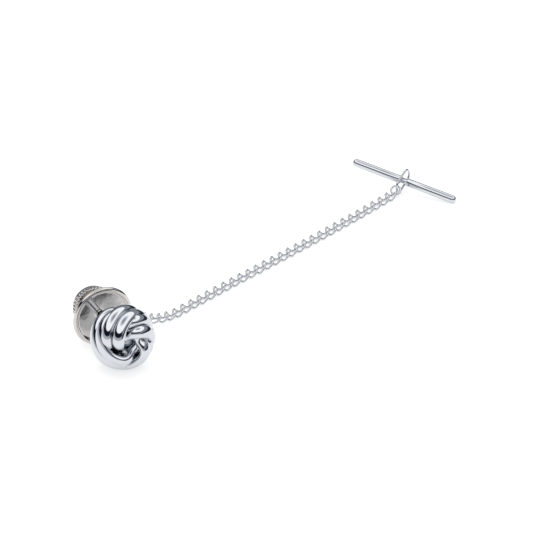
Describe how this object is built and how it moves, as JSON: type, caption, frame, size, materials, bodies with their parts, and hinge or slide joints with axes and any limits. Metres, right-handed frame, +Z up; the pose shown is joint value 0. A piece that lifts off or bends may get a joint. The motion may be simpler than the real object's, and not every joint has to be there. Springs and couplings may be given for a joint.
{
  "type": "tie tack",
  "caption": "Love-knot tie tack: double-strand knot on a pointed post, ball-lock clutch, and a curb chain ending in a round toggle bar.",
  "frame": {"origin": "on the post's axis at the back face of the knot's plate, where the post starts", "axes": "+Y runs along the post from the knot to its point; +Z is up; the chain leaves towards +X"},
  "size_m": [0.0854, 0.0492, 0.0115],
  "materials": {
    "knot_plate": "bright rhodium plating over brass, mirror polished",
    "knot_inside": "plated but unpolished core seen only down the gaps",
    "post_steel": "drawn steel wire, plated",
    "clutch_plate": "bright nickel plating over spun brass",
    "clutch_barrel": "nickel plating, slightly warm",
    "clutch_inside": "turned steel, bare",
    "cage_brass": "turned brass, bare",
    "spring_steel": "spring wire",
    "clutch_cap": "bright nickel plating, milled edge",
    "ball_steel": "hardened bright steel",
    "chain_plate": "bright rhodium plating on drawn wire",
    "bar_plate": "bright rhodium plating, polished"
  },
  "bodies": {
    "head": {"knot_band_1_inner": "knot_plate", "knot_band_1_outer": "knot_plate", "knot_band_2_inner": "knot_plate", "knot_band_2_outer": "knot_plate", "knot_band_3_inner": "knot_plate", "knot_band_3_outer": "knot_plate", "knot_band_4_inner": "knot_plate", "knot_band_4_outer": "knot_plate", "knot_core": "knot_inside", "back_plate": "knot_plate", "post": "post_steel"},
    "clutch_race": {"clutch_cone": "clutch_inside"},
    "clutch_shell": {"clutch_plate": "clutch_plate", "clutch_barrel": "clutch_barrel", "barrel_washer": "clutch_inside"},
    "clutch_plunger": {"ball_cage": "cage_brass", "clutch_cap": "clutch_cap", "lock_spring": "spring_steel"},
    "lock_ball_1": {"lock_ball_1": "ball_steel"},
    "lock_ball_2": {"lock_ball_2": "ball_steel"},
    "lock_ball_3": {"lock_ball_3": "ball_steel"},
    "jump_ring": {"jump_ring": "chain_plate"},
    "chain_link_01": {"chain_link_01": "chain_plate"},
    "chain_link_02": {"chain_link_02": "chain_plate"},
    "chain_link_03": {"chain_link_03": "chain_plate"},
    "chain_link_04": {"chain_link_04": "chain_plate"},
    "chain_link_05": {"chain_link_05": "chain_plate"},
    "chain_link_06": {"chain_link_06": "chain_plate"},
    "chain_link_07": {"chain_link_07": "chain_plate"},
    "chain_link_08": {"chain_link_08": "chain_plate"},
    "chain_link_09": {"chain_link_09": "chain_plate"},
    "chain_link_10": {"chain_link_10": "chain_plate"},
    "chain_link_11": {"chain_link_11": "chain_plate"},
    "chain_link_12": {"chain_link_12": "chain_plate"},
    "chain_link_13": {"chain_link_13": "chain_plate"},
    "chain_link_14": {"chain_link_14": "chain_plate"},
    "chain_link_15": {"chain_link_15": "chain_plate"},
    "chain_link_16": {"chain_link_16": "chain_plate"},
    "chain_link_17": {"chain_link_17": "chain_plate"},
    "chain_link_18": {"chain_link_18": "chain_plate"},
    "chain_link_19": {"chain_link_19": "chain_plate"},
    "chain_link_20": {"chain_link_20": "chain_plate"},
    "chain_link_21": {"chain_link_21": "chain_plate"},
    "chain_link_22": {"chain_link_22": "chain_plate"},
    "chain_link_23": {"chain_link_23": "chain_plate"},
    "chain_link_24": {"chain_link_24": "chain_plate"},
    "chain_link_25": {"chain_link_25": "chain_plate"},
    "chain_link_26": {"chain_link_26": "chain_plate"},
    "chain_link_27": {"chain_link_27": "chain_plate"},
    "chain_link_28": {"chain_link_28": "chain_plate"},
    "chain_link_29": {"chain_link_29": "chain_plate"},
    "chain_link_30": {"chain_link_30": "chain_plate"},
    "chain_link_31": {"chain_link_31": "chain_plate"},
    "chain_link_32": {"chain_link_32": "chain_plate"},
    "chain_link_33": {"chain_link_33": "chain_plate"},
    "end_ring": {"end_ring": "chain_plate"},
    "bar_ring": {"bar_ring": "chain_plate"},
    "toggle_bar": {"toggle_bar": "bar_plate"}
  },
  "joints": [
    {"name": "clutch_slides_on_post", "type": "slide", "parent": "head", "child": "clutch_race", "axis": [0, 1, 0], "range_m": [-0.0025, 0.009]},
    {"name": "clutch_plate_turns", "type": "hinge", "parent": "clutch_race", "child": "clutch_shell", "pos_m": [0, 0.0047, 0], "axis": [0, 1, 0], "continuous": true},
    {"name": "cap_pull", "type": "slide", "parent": "clutch_race", "child": "clutch_plunger", "axis": [0, 1, 0], "range_m": [0, 0.0009], "stiffness_N_per_m": 400, "springref_m": -0.002, "deforming": ["lock_spring"]},
    {"name": "lock_ball_1_opens", "type": "slide", "parent": "clutch_plunger", "child": "lock_ball_1", "axis": [-0.5, 0, -0.866], "range_m": [0, 0.00016]},
    {"name": "lock_ball_2_opens", "type": "slide", "parent": "clutch_plunger", "child": "lock_ball_2", "axis": [-0.5, 0, 0.866], "range_m": [0, 0.00016]},
    {"name": "lock_ball_3_opens", "type": "slide", "parent": "clutch_plunger", "child": "lock_ball_3", "axis": [1, 0, 0], "range_m": [0, 0.00016]},
    {"name": "jump_ring_swing", "type": "hinge", "parent": "clutch_shell", "child": "jump_ring", "pos_m": [0.00405, 0.00515, -0.00066], "axis": [0, 1, 0], "range_deg": [-40, 25]},
    {"name": "chain_link_01_bend", "type": "hinge", "parent": "jump_ring", "child": "chain_link_01", "pos_m": [0.00624, 0.00515, -0.00101], "axis": [0.5958, 0.1552, 0.788], "range_deg": [-30, 30]},
    {"name": "chain_link_02_bend", "type": "hinge", "parent": "chain_link_01", "child": "chain_link_02", "pos_m": [0.00787, 0.00558, -0.00233], "axis": [-0.3024, 0.9532, 0], "range_deg": [-30, 30]},
    {"name": "chain_link_03_bend", "type": "hinge", "parent": "chain_link_02", "child": "chain_link_03", "pos_m": [0.00964, 0.00613, -0.0034], "axis": [-0.3202, -0.1203, -0.9397], "range_deg": [-30, 30]},
    {"name": "chain_link_04_bend", "type": "hinge", "parent": "chain_link_03", "child": "chain_link_04", "pos_m": [0.01152, 0.00684, -0.00413], "axis": [0.4003, -0.9164, 0], "range_deg": [-30, 30]},
    {"name": "chain_link_05_bend", "type": "hinge", "parent": "chain_link_04", "child": "chain_link_05", "pos_m": [0.01341, 0.00767, -0.00469], "axis": [0.1278, 0.0551, 0.9903], "range_deg": [-30, 30]},
    {"name": "chain_link_06_bend", "type": "hinge", "parent": "chain_link_05", "child": "chain_link_06", "pos_m": [0.01536, 0.00851, -0.00498], "axis": [-0.3923, 0.9199, 0], "range_deg": [-30, 30]},
    {"name": "chain_link_07_bend", "type": "hinge", "parent": "chain_link_06", "child": "chain_link_07", "pos_m": [0.01733, 0.00935, -0.00498], "axis": [0, 0, -1], "range_deg": [-30, 30]},
    {"name": "chain_link_08_bend", "type": "hinge", "parent": "chain_link_07", "child": "chain_link_08", "pos_m": [0.0193, 0.01018, -0.00498], "axis": [0.3857, -0.9226, 0], "range_deg": [-30, 30]},
    {"name": "chain_link_09_bend", "type": "hinge", "parent": "chain_link_08", "child": "chain_link_09", "pos_m": [0.02127, 0.01101, -0.00498], "axis": [0, 0, 1], "range_deg": [-30, 30]},
    {"name": "chain_link_10_bend", "type": "hinge", "parent": "chain_link_09", "child": "chain_link_10", "pos_m": [0.02325, 0.01183, -0.00498], "axis": [-0.3806, 0.9247, 0], "range_deg": [-30, 30]},
    {"name": "chain_link_11_bend", "type": "hinge", "parent": "chain_link_10", "child": "chain_link_11", "pos_m": [0.02523, 0.01264, -0.00498], "axis": [0, 0, -1], "range_deg": [-30, 30]},
    {"name": "chain_link_12_bend", "type": "hinge", "parent": "chain_link_11", "child": "chain_link_12", "pos_m": [0.02721, 0.01345, -0.00498], "axis": [0.3771, -0.9262, 0], "range_deg": [-30, 30]},
    {"name": "chain_link_13_bend", "type": "hinge", "parent": "chain_link_12", "child": "chain_link_13", "pos_m": [0.02919, 0.01426, -0.00498], "axis": [0, 0, 1], "range_deg": [-30, 30]},
    {"name": "chain_link_14_bend", "type": "hinge", "parent": "chain_link_13", "child": "chain_link_14", "pos_m": [0.03118, 0.01506, -0.00498], "axis": [-0.3751, 0.927, 0], "range_deg": [-30, 30]},
    {"name": "chain_link_15_bend", "type": "hinge", "parent": "chain_link_14", "child": "chain_link_15", "pos_m": [0.03316, 0.01587, -0.00498], "axis": [0, 0, -1], "range_deg": [-30, 30]},
    {"name": "chain_link_16_bend", "type": "hinge", "parent": "chain_link_15", "child": "chain_link_16", "pos_m": [0.03514, 0.01667, -0.00498], "axis": [0.3746, -0.9272, 0], "range_deg": [-30, 30]},
    {"name": "chain_link_17_bend", "type": "hinge", "parent": "chain_link_16", "child": "chain_link_17", "pos_m": [0.03713, 0.01747, -0.00498], "axis": [0, 0, 1], "range_deg": [-30, 30]},
    {"name": "chain_link_18_bend", "type": "hinge", "parent": "chain_link_17", "child": "chain_link_18", "pos_m": [0.03911, 0.01827, -0.00498], "axis": [-0.3757, 0.9267, 0], "range_deg": [-30, 30]},
    {"name": "chain_link_19_bend", "type": "hinge", "parent": "chain_link_18", "child": "chain_link_19", "pos_m": [0.04109, 0.01908, -0.00498], "axis": [0, 0, -1], "range_deg": [-30, 30]},
    {"name": "chain_link_20_bend", "type": "hinge", "parent": "chain_link_19", "child": "chain_link_20", "pos_m": [0.04308, 0.01988, -0.00498], "axis": [0.3783, -0.9257, 0], "range_deg": [-30, 30]},
    {"name": "chain_link_21_bend", "type": "hinge", "parent": "chain_link_20", "child": "chain_link_21", "pos_m": [0.04506, 0.02069, -0.00498], "axis": [0, 0, 1], "range_deg": [-30, 30]},
    {"name": "chain_link_22_bend", "type": "hinge", "parent": "chain_link_21", "child": "chain_link_22", "pos_m": [0.04704, 0.0215, -0.00498], "axis": [-0.3825, 0.924, 0], "range_deg": [-30, 30]},
    {"name": "chain_link_23_bend", "type": "hinge", "parent": "chain_link_22", "child": "chain_link_23", "pos_m": [0.04901, 0.02232, -0.00498], "axis": [0, 0, -1], "range_deg": [-30, 30]},
    {"name": "chain_link_24_bend", "type": "hinge", "parent": "chain_link_23", "child": "chain_link_24", "pos_m": [0.05099, 0.02315, -0.00498], "axis": [0.3881, -0.9216, 0], "range_deg": [-30, 30]},
    {"name": "chain_link_25_bend", "type": "hinge", "parent": "chain_link_24", "child": "chain_link_25", "pos_m": [0.05296, 0.02398, -0.00498], "axis": [0, 0, 1], "range_deg": [-30, 30]},
    {"name": "chain_link_26_bend", "type": "hinge", "parent": "chain_link_25", "child": "chain_link_26", "pos_m": [0.05493, 0.02482, -0.00498], "axis": [-0.3953, 0.9185, 0], "range_deg": [-30, 30]},
    {"name": "chain_link_27_bend", "type": "hinge", "parent": "chain_link_26", "child": "chain_link_27", "pos_m": [0.0569, 0.02566, -0.00498], "axis": [0, 0, -1], "range_deg": [-30, 30]},
    {"name": "chain_link_28_bend", "type": "hinge", "parent": "chain_link_27", "child": "chain_link_28", "pos_m": [0.05886, 0.02652, -0.00498], "axis": [0.404, -0.9148, 0], "range_deg": [-30, 30]},
    {"name": "chain_link_29_bend", "type": "hinge", "parent": "chain_link_28", "child": "chain_link_29", "pos_m": [0.06082, 0.02738, -0.00498], "axis": [0, 0, 1], "range_deg": [-30, 30]},
    {"name": "chain_link_30_bend", "type": "hinge", "parent": "chain_link_29", "child": "chain_link_30", "pos_m": [0.06277, 0.02826, -0.00498], "axis": [-0.4141, 0.9102, 0], "range_deg": [-30, 30]},
    {"name": "chain_link_31_bend", "type": "hinge", "parent": "chain_link_30", "child": "chain_link_31", "pos_m": [0.06472, 0.02914, -0.00498], "axis": [0, 0, -1], "range_deg": [-30, 30]},
    {"name": "chain_link_32_bend", "type": "hinge", "parent": "chain_link_31", "child": "chain_link_32", "pos_m": [0.06666, 0.03004, -0.00498], "axis": [0.4257, -0.9048, 0], "range_deg": [-30, 30]},
    {"name": "chain_link_33_bend", "type": "hinge", "parent": "chain_link_32", "child": "chain_link_33", "pos_m": [0.0686, 0.03095, -0.00498], "axis": [0, 0, 1], "range_deg": [-30, 30]},
    {"name": "end_ring_swing", "type": "hinge", "parent": "chain_link_33", "child": "end_ring", "pos_m": [0.07078, 0.032, -0.00498], "axis": [-0.3055, 0.6377, -0.7071], "range_deg": [-40, 8]},
    {"name": "bar_ring_swing", "type": "hinge", "parent": "end_ring", "child": "bar_ring", "pos_m": [0.07111, 0.03206, -0.00448], "axis": [-0.3584, -0.224, 0.9063], "range_deg": [-40, 40]},
    {"name": "bar_tilt", "type": "hinge", "parent": "bar_ring", "child": "toggle_bar", "pos_m": [0.07287, 0.03315, -0.00352], "axis": [-0.3584, -0.224, 0.9063], "range_deg": [-35, 35]}
  ],
  "couplings": [
    {"joint": "lock_ball_1_opens", "follows": "cap_pull", "ratio": 0.16667},
    {"joint": "lock_ball_2_opens", "follows": "cap_pull", "ratio": 0.16667},
    {"joint": "lock_ball_3_opens", "follows": "cap_pull", "ratio": 0.16667}
  ]
}
